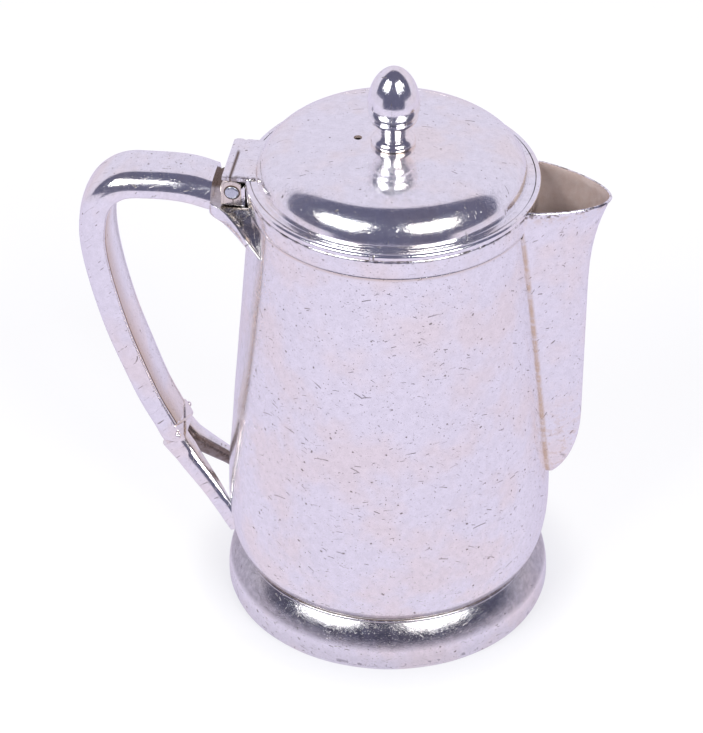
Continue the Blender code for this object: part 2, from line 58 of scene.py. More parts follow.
def link(name, mesh, body, slot, material, *nodes):
    """Puts a mesh in the scene, as a piece that rides on body and stands for the CAD nodes."""
    mesh.name = name
    piece = bpy.data.objects.new(name, mesh)
    bpy.context.scene.collection.objects.link(piece)
    mesh.materials.clear()
    mesh.materials.append(material)
    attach(piece, body)
    if nodes:
        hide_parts(*nodes)
    return piece


def on_pot(name, mesh, material, *nodes):
    return link(name, mesh, "pot_body", "worn_silver", material, *nodes)


def on_lid(name, mesh, material, *nodes):
    return link(name, mesh, "lid", "worn_silver", material, *nodes)


def smooth(mesh, angle=38):
    mesh.shade_smooth()
    mesh.set_sharp_from_angle(angle=math.radians(angle))
    return mesh


def mesh_of(bm, angle=38):
    """The finished mesh, with its faces turned outwards and its edges sharp over angle degrees."""
    bmesh.ops.recalc_face_normals(bm, faces=bm.faces)
    mesh = bpy.data.meshes.new("mesh")
    bm.to_mesh(mesh)
    bm.free()
    return smooth(mesh, angle)


def skin(rings, angle=38):
    """A capped mesh through rings of points in millimetres from the pot's axis."""
    bm = bmesh.new()
    rows = []
    for ring in rings:
        rows.append([bm.verts.new((AXIS_X + p[0] * MM, p[1] * MM, p[2] * MM)) for p in ring])
    for near, far in zip(rows, rows[1:]):
        count = len(near)
        for i in range(count):
            j = (i + 1) % count
            bm.faces.new((near[i], near[j], far[j], far[i]))
    for row in (rows[0], rows[-1]):
        middle = sum((v.co for v in row), Vector()) / len(row)
        centre = bm.verts.new(middle)
        for i in range(len(row)):
            bm.faces.new((row[i], row[(i + 1) % len(row)], centre))
    return mesh_of(bm, angle)


def lathe(profile, steps=256, closed=True, wobble=0.0, wobble_size=14.0, seed=0.0, angle=38):
    """Turns a profile of (radius, height) in millimetres. Radius 0 makes a pole. wobble dents it."""
    bm = bmesh.new()
    rows = []
    for radius, height in profile:
        if radius < 1e-6:
            rows.append([bm.verts.new((AXIS_X, 0, height * MM))])
            continue
        row = []
        for i in range(steps):
            a = 2 * math.pi * i / steps
            c, s = math.cos(a), math.sin(a)
            r = radius
            if wobble:
                at = Vector((radius * c, radius * s, height)) / wobble_size + Vector((seed, 0, 0))
                r += wobble * noise.noise(at)
            row.append(bm.verts.new((AXIS_X + r * c * MM, r * s * MM, height * MM)))
        rows.append(row)
    pairs = list(zip(rows, rows[1:]))
    if closed:
        pairs.append((rows[-1], rows[0]))
    for near, far in pairs:
        for i in range(steps):
            j = (i + 1) % steps
            if len(near) == 1 and len(far) == 1:
                break
            if len(near) == 1:
                bm.faces.new((near[0], far[j], far[i]))
            elif len(far) == 1:
                bm.faces.new((near[i], near[j], far[0]))
            else:
                bm.faces.new((near[i], near[j], far[j], far[i]))
    return mesh_of(bm, angle)


def arc(centre, radius, start, end, count):
    """Points (r, z) on a circle, from angle start to angle end in degrees."""
    points = []
    for i in range(count + 1):
        a = math.radians(start + (end - start) * i / count)
        points.append((centre[0] + radius * math.cos(a), centre[1] + radius * math.sin(a)))
    return points


def spline(points, per_span):
    """Catmull-Rom through vectors."""
    ends = [2 * points[0] - points[1], *points, 2 * points[-1] - points[-2]]
    path = []
    for a, b, c, d in zip(ends, ends[1:], ends[2:], ends[3:]):
        for k in range(per_span):
            t = k / per_span
            square = (2 * a - 5 * b + 4 * c - d) * t**2
            cube = (3 * b - a - 3 * c + d) * t**3
            path.append(0.5 * (2 * b + (c - a) * t + square + cube))
    path.append(points[-1])
    return path


def blend(stations, t):
    """The value at t, eased from one (t, value) station to the next."""
    for (start, low), (end, high) in zip(stations, stations[1:]):
        if t <= end:
            k = (t - start) / (end - start)
            k = k * k * (3 - 2 * k)
            return low + (high - low) * k
    return stations[-1][1]


def normals_of(path):
    """The side of a path in the (x, z) plane that looks away from the pot."""
    found = []
    for i in range(len(path)):
        along = (path[min(i + 1, len(path) - 1)] - path[max(i - 1, 0)]).normalized()
        found.append(Vector((along.y, -along.x)))
    return found


def tube(points, radius, sides=12, taper=0.0):
    """A round wire through 3-D points in millimetres. taper thins both ends."""
    rings = []
    up = Vector((0, 0, 1))
    last = len(points) - 1
    for i, point in enumerate(points):
        along = (points[min(i + 1, last)] - points[max(i - 1, 0)]).normalized()
        side = along.cross(up)
        if side.length < 1e-4:
            side = Vector((1, 0, 0))
        side.normalize()
        other = along.cross(side).normalized()
        r = radius * (1 - taper * abs(2 * i / last - 1) ** 3)
        turns = [2 * math.pi * k / sides for k in range(sides)]
        rings.append([point + side * r * math.cos(a) + other * r * math.sin(a) for a in turns])
    return skin(rings)


# ---------------------------------------------------------------- materials


class Nodes:
    """Short calls for building a node tree."""

    def __init__(self, tree):
        self.tree = tree

    def add(self, kind, **settings):
        node = self.tree.nodes.new(kind)
        for key, value in settings.items():
            setattr(node, key, value)
        return node

    def put(self, socket, value):
        if isinstance(value, bpy.types.NodeSocket):
            self.tree.links.new(value, socket)
        elif value is not None:
            socket.default_value = value

    def math(self, operation, a, b=None):
        node = self.add("ShaderNodeMath", operation=operation)
        for socket, value in zip(node.inputs, (a, b)):
            self.put(socket, value)
        return node.outputs[0]

    def vector(self, operation, a, b=None):
        node = self.add("ShaderNodeVectorMath", operation=operation)
        self.put(node.inputs[0], a)
        if b is not None:
            self.put(node.inputs[1], b)
        return node.outputs["Value"] if operation == "LENGTH" else node.outputs[0]

    def ramp(self, value, low, high, out_low=0.0, out_high=1.0, smooth=True):
        kind = "SMOOTHSTEP" if smooth else "LINEAR"
        node = self.add("ShaderNodeMapRange", interpolation_type=kind)
        self.put(node.inputs["Value"], value)
        node.inputs["From Min"].default_value = low
        node.inputs["From Max"].default_value = high
        node.inputs["To Min"].default_value = out_low
        node.inputs["To Max"].default_value = out_high
        return node.outputs["Result"]

    def mix(self, factor, a, b, kind="MIX"):
        node = self.add("ShaderNodeMix", data_type="RGBA", blend_type=kind)
        self.put(node.inputs[0], factor)
        self.put(node.inputs[6], a)
        self.put(node.inputs[7], b)
        return node.outputs[2]

    def noise(self, vector, scale, detail=2.0, rough=0.5):
        node = self.add("ShaderNodeTexNoise", noise_dimensions="3D")
        self.put(node.inputs["Vector"], vector)
        node.inputs["Scale"].default_value = scale
        node.inputs["Detail"].default_value = detail
        node.inputs["Roughness"].default_value = rough
        return node.outputs["Fac"]

    def combine(self, x, y, z=0.0):
        node = self.add("ShaderNodeCombineXYZ")
        for socket, value in zip(node.inputs, (x, y, z)):
            self.put(socket, value)
        return node.outputs[0]

    def split(self, vector):
        node = self.add("ShaderNodeSeparateXYZ")
        self.put(node.inputs[0], vector)
        return node.outputs

    def strokes(self, plane, per_mm, length, width, lean, spread, share, seed, sparse=None):
        """Scratches: one mark in some cells of a random grid on plane, which is in millimetres.
        lean and spread are in radians, length and width in millimetres, and share is the part
        of the cells that hold a mark."""
        cells = self.vector("MULTIPLY", plane, (per_mm, per_mm, per_mm))
        cells = self.vector("ADD", cells, (seed, seed * 1.7, 0.0))
        grid = self.add("ShaderNodeTexVoronoi", voronoi_dimensions="2D", feature="F1")
        self.put(grid.inputs["Vector"], cells)
        grid.inputs["Scale"].default_value = 1.0
        away = self.vector("SUBTRACT", cells, grid.outputs["Position"])
        chance = self.add("ShaderNodeSeparateColor")
        self.put(chance.inputs[0], grid.outputs["Color"])
        red, green, blue = chance.outputs
        turn = self.add("ShaderNodeVectorRotate", rotation_type="Z_AXIS")
        self.put(turn.inputs["Vector"], away)
        self.put(turn.inputs["Angle"], self.ramp(red, 0, 1, lean - spread, lean + spread, smooth=False))
        x, y, _ = self.split(turn.outputs[0])
        reach = self.math("MULTIPLY", self.math("POWER", green, 2.0), length * per_mm)
        beyond = self.math("MAXIMUM", self.math("SUBTRACT", self.math("ABSOLUTE", x), reach), 0.0)
        bend = self.math("ADD", y, self.math("MULTIPLY", self.math("MULTIPLY", x, x), 0.25))
        distance = self.vector("LENGTH", self.combine(beyond, bend, 0.0))
        mark = self.ramp(distance, 0.2 * width * per_mm, width * per_mm, 1.0, 0.0)
        there = self.ramp(blue, share - 0.02, share, 1.0, 0.0)
        mark = self.math("MULTIPLY", mark, there)
        if sparse is not None:
            mark = self.math("MULTIPLY", mark, sparse)
        return mark


SILVER = (0.95, 0.945, 0.96, 1)
WARM = (0.97, 0.915, 0.875, 1)
# dark of the scratches and pits, and the painted shade along the collar's lower edge
GRIME_AND_SHADE = (0.19, 0.155, 0.13, 1)
# tan: real tarnish on the spout, the inside and the knuckles, and painted shade on the body wall, the
# spout's seam and the strap
TAN_AND_SHADE = (0.70, 0.56, 0.42, 1)
BRONZE = (0.47, 0.355, 0.31, 1)
# soot: real chips on the foot, and the foot's painted dark reflection and painted shade
SOOT_AND_SHADE = (0.30, 0.29, 0.30, 1)
# umber: real chips and dirt on the lip, the leaf groove and the pin rings, and painted shade on the rear
# arm and the upper mount
UMBER_AND_SHADE = (0.17, 0.125, 0.095, 1)
DULL_SILVER = (0.84, 0.77, 0.68, 1)
STEEL = (0.62, 0.66, 0.72, 1)
DARK_STEEL = (0.5, 0.53, 0.58, 1)
LEAF_GROOVE = PIN_X - 0.4


def silver(
    name,
    rough=0.1,
    mode="round",
    marks=1.0,
    brushed=0.0,
    base=SILVER,
    patch=WARM,
    tarnish_and_shade=None,
    stain_and_shade=TAN_AND_SHADE,
    pits=1.0,
    metallic=1.0,
    scuff=0.12,
):
    """Worn silver plate. mode says how the marks lie: round the axis, level, or along the handle.
    The mask function is given (nodes, x, y, z in millimetres from the axis, mottle) and says where the
    second colour goes: tarnished silver on some pieces, painted shade and painted reflection on others."""
    material = bpy.data.materials.new(name)
    material.use_nodes = True
    tree = material.node_tree
    tree.nodes.clear()
    n = Nodes(tree)
    out = n.add("ShaderNodeOutputMaterial")
    shader = n.add("ShaderNodeBsdfPrincipled")
    tree.links.new(shader.outputs[0], out.inputs[0])
    shader.inputs["Metallic"].default_value = metallic
    place = n.add("ShaderNodeTexCoord").outputs["Object"]
    place = n.vector("SUBTRACT", place, (AXIS_X, 0.0, 0.0))
    place = n.vector("MULTIPLY", place, (1000.0, 1000.0, 1000.0))
    x, y, z = n.split(place)
    radius = n.vector("LENGTH", n.combine(x, y, 0.0))
    if mode == "round":
        around = n.math("MULTIPLY", n.math("ARCTAN2", y, x), 43.0)
        plane = n.combine(around, z, 0.0)
        grain = n.combine(n.math("MULTIPLY", around, 0.9), n.math("MULTIPLY", z, 5.0), radius)
    elif mode == "level":
        plane = n.combine(x, y, 0.0)
        around = n.math("MULTIPLY", n.math("ARCTAN2", y, x), 30.0)
        grain = n.combine(around, n.math("MULTIPLY", radius, 6.0), z)
    else:
        slant = n.math("SUBTRACT", x, n.math("MULTIPLY", z, 0.9))
        across = n.math("ADD", y, n.math("MULTIPLY", z, 0.35))
        plane = n.combine(slant, across, 0.0)
        grain = n.combine(n.math("MULTIPLY", y, 5.0), n.math("MULTIPLY", x, 2.0), z)

    clouds = n.noise(place, 0.055, 3.0, 0.55)
    mottle = n.noise(place, 0.45, 3.0, 0.6)
    fine = n.noise(place, 2.6, 2.0, 0.6)
    colour = n.mix(n.ramp(clouds, 0.42, 0.66), base, patch)
    shade = n.ramp(mottle, 0.25, 0.75, 0.94, 1.03)
    shade = n.math("MULTIPLY", shade, n.ramp(fine, 0.2, 0.8, 0.965, 1.03))
    colour = n.mix(1.0, colour, n.combine(shade, shade, shade), "MULTIPLY")

    crowd = n.ramp(n.noise(place, 0.09, 2.0, 0.6), 0.44, 0.62, 0.08, 1.0)
    long_marks = n.strokes(plane, 0.16, 2.2, 0.22, 0.15, 0.55, 0.50 * marks, 3.1, crowd)
    short_marks = n.strokes(plane, 0.42, 0.9, 0.15, 0.1, 0.7, 0.48 * marks, 7.7, crowd)
    tiny_marks = n.strokes(plane, 1.1, 0.4, 0.085, 0.2, 1.2, 0.34 * marks, 12.3)
    dots = n.strokes(plane, 0.13, 0.25, 0.42, 0.0, 1.5, 0.40 * pits, 21.9)
    small_dots = n.strokes(plane, 0.6, 0.1, 0.2, 0.0, 1.5, 0.22 * pits, 31.4)
    scratches = n.math("MAXIMUM", long_marks, short_marks)
    deep = n.math("MAXIMUM", scratches, n.math("MAXIMUM", dots, small_dots))
    dark = n.math("MAXIMUM", n.math("MULTIPLY", deep, 0.8), n.math("MULTIPLY", tiny_marks, 0.34))
    colour = n.mix(dark, colour, GRIME_AND_SHADE)
    # the second colour is real tarnish on some pieces, and painted shade and painted reflection on others
    if tarnish_and_shade is not None:
        mask = tarnish_and_shade(n, x, y, z, mottle)
        colour = n.mix(mask, colour, stain_and_shade)
    n.put(shader.inputs["Base Color"], colour)

    wear = n.ramp(n.noise(place, 0.8, 3.0, 0.65), 0.3, 0.75, 0.75, 1.45)
    gloss = n.math("MULTIPLY", wear, rough)
    gloss = n.math("ADD", gloss, n.math("MULTIPLY", dark, 0.35))
    rubbed = n.ramp(n.noise(place, 3.2, 2.0, 0.7), 0.5, 0.62)
    gloss = n.math("ADD", gloss, n.math("MULTIPLY", rubbed, scuff))
    n.put(shader.inputs["Roughness"], gloss)

    height = n.math("MULTIPLY", deep, -1.0)
    height = n.math("SUBTRACT", height, n.math("MULTIPLY", tiny_marks, 0.35))
    height = n.math("ADD", height, n.math("MULTIPLY", n.noise(place, 0.9, 2.0, 0.5), 0.35))
    height = n.math("ADD", height, n.math("MULTIPLY", rubbed, -0.12))
    if brushed:
        lines = n.noise(grain, 1.15, 4.0, 0.7)
        height = n.math("ADD", height, n.math("MULTIPLY", lines, brushed))
    bump = n.add("ShaderNodeBump")
    bump.inputs["Strength"].default_value = 1.0
    bump.inputs["Distance"].default_value = 0.03 * MM
    n.put(bump.inputs["Height"], height)
    n.put(shader.inputs["Normal"], bump.outputs[0])
    return material


def near(n, value, level, reach):
    """1 at value == level, fading to 0 at the distance reach."""
    return n.ramp(n.math("ABSOLUTE", n.math("SUBTRACT", value, level)), 0.0, reach, 1.0, 0.0)


def seam_with_wall(n, x, y, z, reach):
    """1 where the surface comes near the pot's wall."""
    radius = n.vector("LENGTH", n.combine(x, y, 0.0))
    wall_radius = n.math("ADD", n.math("MULTIPLY", z, -0.0776), 40.67 + 0.0776 * 135.6)
    return n.ramp(n.math("SUBTRACT", radius, wall_radius), 0.3, reach, 1.0, 0.0)


def spout_tarnish_and_shade(n, x, y, z, mottle):
    # painted shade where the spout meets the wall; the tan near the rim and low on the spout is real
    # tarnish
    wall_shade = n.math("MULTIPLY", seam_with_wall(n, x, y, z, 1.3), n.ramp(mottle, 0.3, 0.6, 0.3, 1.0))
    rim = n.math("MULTIPLY", n.ramp(z, 138.0, 142.5, 0.0, 0.5), n.ramp(mottle, 0.42, 0.62, 0.0, 1.0))
    worn = n.math("MULTIPLY", n.ramp(z, 50, 88, 0.45, 0.0), n.ramp(mottle, 0.48, 0.66, 0.0, 1.0))
    return n.math("MAXIMUM", n.math("MAXIMUM", wall_shade, rim), worn)


def lip_tarnish(n, x, y, z, mottle):
    return n.ramp(n.noise(n.combine(x, y, z), 0.55, 3.0, 0.6), 0.44, 0.62, 0.0, 0.8)


def toward_front(n, low, high):
    """1 on faces that look towards the near side of the pot."""
    facing = n.add("ShaderNodeNewGeometry").outputs["Normal"]
    return n.ramp(n.split(facing)[1], low, high, 1.0, 0.0)


def rear_arm_painted_shade(n, x, y, z, mottle):
    # painted shade on the side of the rear arm that faces the front arm
    return n.math("MULTIPLY", toward_front(n, -0.75, -0.35), n.ramp(mottle, 0.2, 0.8, 0.8, 1.0))


def body_painted_shade(n, x, y, z, mottle):
    # painted shade at the seams under the collar and above the foot
    seam_shade = n.math("MAXIMUM", near(n, z, 135.6, 1.4), near(n, z, 16.4, 1.6))
    # a painted brown shadow down the wall where it faces the handle
    middle = n.ramp(n.math("ABSOLUTE", y), 3.0, 13.0, 1.0, 0.0)
    shadow = n.math("MULTIPLY", n.math("MULTIPLY", middle, n.ramp(x, -30, -38)), 0.35)
    painted_shade = n.math("MAXIMUM", n.math("MULTIPLY", seam_shade, 0.75), shadow)
    return n.math("MULTIPLY", painted_shade, n.ramp(mottle, 0.2, 0.6, 0.5, 1.0))


def rim_chips_and_painted_shade(n, x, y, z, mottle):
    # painted shade along the collar's lower edge where it meets the wall; the chips at the top are real
    edge = n.math("MULTIPLY", near(n, z, 135.9, 0.5), n.ramp(mottle, 0.2, 0.6, 0.08, 0.3))
    chips = n.math("MULTIPLY", near(n, z, 141.9, 0.9), n.ramp(mottle, 0.42, 0.6, 0.0, 0.9))
    return n.math("MAXIMUM", edge, chips)


def inside_tarnish(n, x, y, z, mottle):
    return n.ramp(mottle, 0.1, 0.9, 0.8, 1.0)


def foot_chips_and_painted_shade(n, x, y, z, mottle):
    # painted reflection: the curved band darkened where it mirrors the dark room; painted shade at the top
    # joint and darker towards the bottom; the chips near the floor are real
    curve = n.math("MULTIPLY", n.ramp(z, 6.0, 9.0), n.ramp(mottle, 0.15, 0.7, 0.4, 0.78))
    chips = n.math("MULTIPLY", near(n, z, 2.0, 1.4), n.ramp(mottle, 0.5, 0.66, 0.0, 0.8))
    low = n.ramp(z, 8.0, 3.0, 0.0, 0.22)
    joint_shade = near(n, z, 15.0, 0.35)
    return n.math("MAXIMUM", n.math("MAXIMUM", curve, chips), n.math("MAXIMUM", joint_shade, low))


def strap_painted_shade(n, x, y, z, mottle):
    # painted shade and reflection: tan across the near half of the inner face and lower down
    near_side_shade = n.ramp(y, -7.5, 2.5, 0.8, 0.0)
    low = n.ramp(z, 40.0, 75.0, 0.25, 0.0)
    return n.math("MULTIPLY", n.math("ADD", near_side_shade, low), n.ramp(mottle, 0.1, 0.7, 0.7, 1.0))


def saddle_painted_shade(n, x, y, z, mottle):
    # painted shade: brown on the upward faces of the hollow on top, and in the gap behind the hinge
    facing = n.add("ShaderNodeNewGeometry").outputs["Normal"]
    top = n.ramp(n.split(facing)[2], 0.3, 0.8)
    gap_shade = n.math("MULTIPLY", n.ramp(y, -4.0, 0.5), n.ramp(x, -52.2, -51.2))
    valley_shade = n.math("MULTIPLY", top, n.ramp(mottle, 0.2, 0.7, 0.3, 0.6))
    return n.math("MAXIMUM", valley_shade, gap_shade)


def leaf_tarnish(n, x, y, z, mottle):
    # a dirty groove across two thirds of the leaf, and its worn near edge
    groove = n.math("MULTIPLY", near(n, x, LEAF_GROOVE, 0.75), n.ramp(y, 2.5, 5.0, 1.0, 0.0))
    edge = n.math("MULTIPLY", n.ramp(y, -10.2, -9.0, 1.0, 0.0), n.ramp(mottle, 0.4, 0.55))
    return n.math("MAXIMUM", groove, n.math("MULTIPLY", edge, 0.7))


BODY = silver("worn_silver_body", tarnish_and_shade=body_painted_shade)
COLLAR = silver("worn_silver_collar", rough=0.11, tarnish_and_shade=rim_chips_and_painted_shade, stain_and_shade=GRIME_AND_SHADE, marks=1.1)
FOOT = silver("worn_silver_foot", brushed=1.3, marks=1.5, tarnish_and_shade=foot_chips_and_painted_shade, stain_and_shade=SOOT_AND_SHADE, scuff=0.1)
LID = silver("worn_silver_lid", rough=0.075, mode="level", marks=0.5, pits=0.35, scuff=0.14)
BRIGHT = silver("bright_silver_finial", rough=0.06, mode="level", marks=0.35, pits=0.2, scuff=0.08)
SPOUT = silver("worn_silver_spout", rough=0.11, mode="along", marks=0.9, tarnish_and_shade=spout_tarnish_and_shade)
SPOUT_INSIDE = silver(
    "tarnished_spout_inside",
    rough=0.45,
    mode="along",
    marks=0.6,
    tarnish_and_shade=inside_tarnish,
    stain_and_shade=BRONZE,
    metallic=0.3,
)
LIP = silver("chipped_spout_lip", mode="along", marks=1.2, tarnish_and_shade=lip_tarnish, stain_and_shade=UMBER_AND_SHADE)
HANDLE = silver("worn_silver_handle", rough=0.09, mode="along", marks=0.8)
REAR_ARM = silver(
    "worn_silver_rear_arm_painted_shade", rough=0.12, mode="along", marks=0.8, tarnish_and_shade=rear_arm_painted_shade, stain_and_shade=UMBER_AND_SHADE
)
STRAP = silver("worn_silver_strap", rough=0.12, mode="along", marks=0.4, tarnish_and_shade=strap_painted_shade)
CAST = silver(
    "cast_silver_painted_shade", rough=0.12, mode="along", marks=0.5, tarnish_and_shade=saddle_painted_shade, stain_and_shade=UMBER_AND_SHADE
)
HINGE = silver("worn_silver_hinge", rough=0.12, mode="level", tarnish_and_shade=leaf_tarnish, stain_and_shade=UMBER_AND_SHADE)
KNUCKLE = silver("tarnished_knuckle", rough=0.16, mode="level", marks=1.2, base=DULL_SILVER, patch=TAN_AND_SHADE)
INSIDE = silver("dull_inside", rough=0.35, tarnish_and_shade=inside_tarnish, marks=0.5)
PIN_METAL = silver("pin_grey", rough=0.2, mode="level", base=STEEL, patch=DARK_STEEL)
GAP_DARK = silver("dark_groove", rough=0.5, mode="level", base=UMBER_AND_SHADE, patch=UMBER_AND_SHADE)

# ---------------------------------------------------------------- body

BODY_TOP, CONE_START, BULGE, FOOT_Z = 135.6, 46.0, 33.0, 16.1
TOP_R, TAPER, WAIST_R = 40.67, 0.0776, 43.65
SHEET = 0.9
HOLE_RADIUS, HOLE_STEP, ROW_STEP, LOWEST_ROW = 1.5, 3.8, 10, 78


def body_radius(z):
    """A straight cone down to CONE_START, then a bulge that turns in to the foot."""
    if z >= CONE_START:
        return TOP_R + TAPER * (BODY_TOP - z)
    start = TOP_R + TAPER * (BODY_TOP - CONE_START)
    span = CONE_START - BULGE
    bulge = start + TAPER * span / 2
    if z >= BULGE:
        return bulge - TAPER / (2 * span) * (z - BULGE) ** 2
    drop = (BULGE - z) / (BULGE - FOOT_Z)
    return WAIST_R + (bulge - WAIST_R) * math.sqrt(max(0.0, 1 - drop**2))


def rod(bm, radius, length, segments, centre, turn=None):
    """Adds a closed cylinder to bm. Everything is in millimetres, and centre is from the axis."""
    radius *= MM
    made = bmesh.ops.create_cone(
        bm, cap_ends=True, segments=segments, radius1=radius, radius2=radius, depth=length * MM
    )
    if turn:
        bmesh.ops.rotate(bm, verts=made["verts"], matrix=turn)
    at = Vector((AXIS_X, 0, 0)) + Vector(centre) * MM
    bmesh.ops.translate(bm, verts=made["verts"], vec=at)


def strainer(bm):
    """Round holes behind the spout, in staggered rows."""
    level = Matrix.Rotation(math.pi / 2, 3, "Y")
    for row, count in enumerate((2, 3, 4, 3, 4)):
        for k in range(count):
            across = HOLE_STEP * (k - (count - 1) / 2)
            rod(bm, HOLE_RADIUS, 12, 20, (43.5, across, LOWEST_ROW + ROW_STEP * row), level)


def settle(piece, angle=38):
    """Makes a piece's modifiers part of its mesh."""
    bpy.context.view_layer.update()
    graph = bpy.context.evaluated_depsgraph_get()
    mesh = bpy.data.meshes.new_from_object(piece.evaluated_get(graph))
    piece.modifiers.clear()
    piece.data = smooth(mesh, angle)


def cut(piece, bm, material=None):
    """Takes the shape in bm away from a piece. material is for the faces that the cut makes."""
    tool = bpy.data.objects.new("tool", mesh_of(bm))
    if material:
        tool.data.materials.append(material)
    bpy.context.scene.collection.objects.link(tool)
    modifier = piece.modifiers.new("cut", "BOOLEAN")
    modifier.operation = "DIFFERENCE"
    modifier.solver = "EXACT"
    modifier.material_mode = "TRANSFER"
    modifier.object = tool
    settle(piece)
    bpy.data.objects.remove(tool)


heights = [135.75, 135.6, 130]
heights += [130 - 6 * k for k in range(1, 14)]
heights += [46 - 2.0 * k for k in range(0, 12)]
heights += [22 - 1.0 * k for k in range(1, 5)] + [17.3, 16.8, 16.5, 16.3]
outer = [(body_radius(z), z) for z in heights]
inner = [(r - SHEET, z) for r, z in reversed(outer)]
profile = outer + [(43.5, 15.8), (42.7, 15.8)] + inner
wall = on_pot("body_wall", lathe(profile, 240, wobble=0.16, wobble_size=17), BODY, "body_shell")
holes = bmesh.new()
strainer(holes)
cut(wall, holes)

collar_profile = (
    [(40.9, 142.15), (41.35, 142.1), (41.65, 141.85), (41.75, 141.5)]
    + [(41.75 - 0.02 * k, 141.5 - 1.0 * k) for k in range(1, 5)]
    + [(41.55, 136.9), (41.5, 136.6), (41.25, 136.3), (41.25, 136.1), (41.35, 135.9), (41.2, 135.75)]
    + [(40.6, 135.7), (39.6, 135.7), (39.6, 142.15)]
)
on_pot("collar_band", lathe(collar_profile, wobble=0.06, seed=4), COLLAR, "body_collar")

# ---------------------------------------------------------------- foot


FOOT_R, FOOT_CURVE, FOOT_UPRIGHT = 48.55, 17.5, 3.0


def foot_radius(z):
    """Upright near the floor, then one long arc in towards the body."""
    return FOOT_R - FOOT_CURVE + math.sqrt(FOOT_CURVE**2 - max(0.0, z - FOOT_UPRIGHT) ** 2)


foot_heights = [14.9, 14.75, 14.5, 14.1, 13.6, 13, 12.2, 11.2, 10, 8.8, 7.6, 6.4, 5.2, 4.0, 2.8, 1.9, 1.5]
foot = [(foot_radius(z), z) for z in foot_heights]
foot += [(foot_radius(1.5) - 1.0, 1.5)]
foot += [(foot_radius(z) - 1.0, z - 0.5) for z in reversed(foot_heights[3:-3])]
foot += [(43.2, 14.2), (43.2, 14.9)]
foot_dents = {"wobble": 0.10, "wobble_size": 11, "seed": 9}
on_pot("foot_band", lathe(foot, **foot_dents), FOOT, "foot_ring")
on_pot("foot_top_bead", lathe(arc((44.35, 15.45), 0.55, 0, -330, 11)), FOOT, "foot_bead")
rim = [(46.6, 0.9), (46.9, 1.45), (47.9, 1.45), (48.15, 1.15), (48.2, 0.7)]
rim += [(48.1, 0.2), (47.9, 0.0), (46.7, 0.0), (46.6, 0.15)]
on_pot("foot_edge_wire", lathe(rim, **foot_dents), FOOT, "foot_rim_wire")

# ---------------------------------------------------------------- spout

SPOUT_TIP, KEEL = 62.7, 56.9
SPOUT_COUNT = 26
FIRST_LIP_RING, FIRST_INSIDE_RING = 25, 29


def spout_reach(z):
    """How far the keel stands from the axis: upright, drawn out at the tip and rounded in at the foot."""
    if z > 110:
        return KEEL + (SPOUT_TIP - KEEL) * ((z - 110) / 33.3) ** 2.6
    if z < 66:
        drop = min(1.0, (66 - z) / 24.5)
        return KEEL - 13.0 * (1 - math.sqrt(1 - drop**2))
    return KEEL


def spout_half(z):
    """Half the spout's width where it meets the wall."""
    at_wall = 4.1 + 0.122 * (z - 61.4)
    if z < 52:
        at_wall = min(at_wall, 2.9 * math.sqrt(max(0.0, (z - 43.5) / 8.5)))
    if z > 132:
        at_wall += 1.3 * ((z - 132) / 11) ** 2
    return max(0.25, min(14.1, at_wall))


def wall_x(y, z, sink):
    """How far out the wall or the collar is at y, less sink."""
    r = (41.7 if z > 135.8 else body_radius(z)) - sink
    return math.sqrt(max(1.0, r * r - y * y))


def spout_ring(z, inset, count, level=None, sink=0.35):
    """Points round one level of the spout, from one side of the wall round the keel to the other."""
    half = max(0.15, spout_half(z) - inset)
    tip = spout_reach(z) - inset
    root = wall_x(half, z, sink)
    tip = max(tip, root + 0.3)
    ring = []
    for i in range(-count, count + 1):
        a = math.pi / 2 * (1 - abs(i) / count)
        s = math.sin(a)
        across = half * max(0.0, 1 - s**1.3) ** 0.55 * (1 if i > 0 else -1)
        ring.append((root + (tip - root) * s, across, level(s) if level else z))
    return ring


def make_spout():
    """Outside, rounded lip and inside in one closed mesh."""
    levels = [43.6, 44.2, 45.2, 46.5, 48, 50, 52, 55, 58, 62, 66, 72, 80, 88, 96, 104, 110, 115, 120]
    levels += [125, 129, 133, 136, 138.5, 140.5, 141.8]
    outside = [spout_ring(z, 0.0, SPOUT_COUNT) for z in levels]
    lip = []
    for inset, lift in ((0.0, 0.0), (0.15, 0.35), (0.5, 0.5), (0.85, 0.4), (1.0, 0.0)):
        level = lambda s, lift=lift: 143.3 - 1.1 * s + lift * 0.9
        lip.append(spout_ring(142.9, inset * 0.95, SPOUT_COUNT, level, -0.75))
    inside = [spout_ring(z, 0.95, SPOUT_COUNT) for z in reversed(levels[6:])]
    bm = bmesh.new()
    rows = []
    for ring in outside + lip + inside:
        rows.append([bm.verts.new((AXIS_X + p[0] * MM, p[1] * MM, p[2] * MM)) for p in ring])
    for near_row, far_row in zip(rows, rows[1:]):
        for i in range(len(near_row) - 1):
            bm.faces.new((near_row[i], near_row[i + 1], far_row[i + 1], far_row[i]))
    # close the foot of the spout and the two edges that sink into the wall
    for end in (0, -1):
        outer_edge = [row[end] for row in rows[: len(outside)]]
        inner_edge = [row[end] for row in reversed(rows[len(outside) + len(lip) :])]
        lip_edge = [row[end] for row in rows[len(outside) : len(outside) + len(lip)]]
        skip = len(outer_edge) - len(inner_edge)
        pairs = list(zip(outer_edge[skip:], inner_edge))
        for (a, b), (c, d) in zip(pairs, pairs[1:]):
            bm.faces.new((a, c, d, b))
        bm.faces.new([pairs[-1][0], *lip_edge, pairs[-1][1]])
    bm.faces.new(rows[0])
    bm.faces.new(rows[-1])
    return mesh_of(bm, 50)


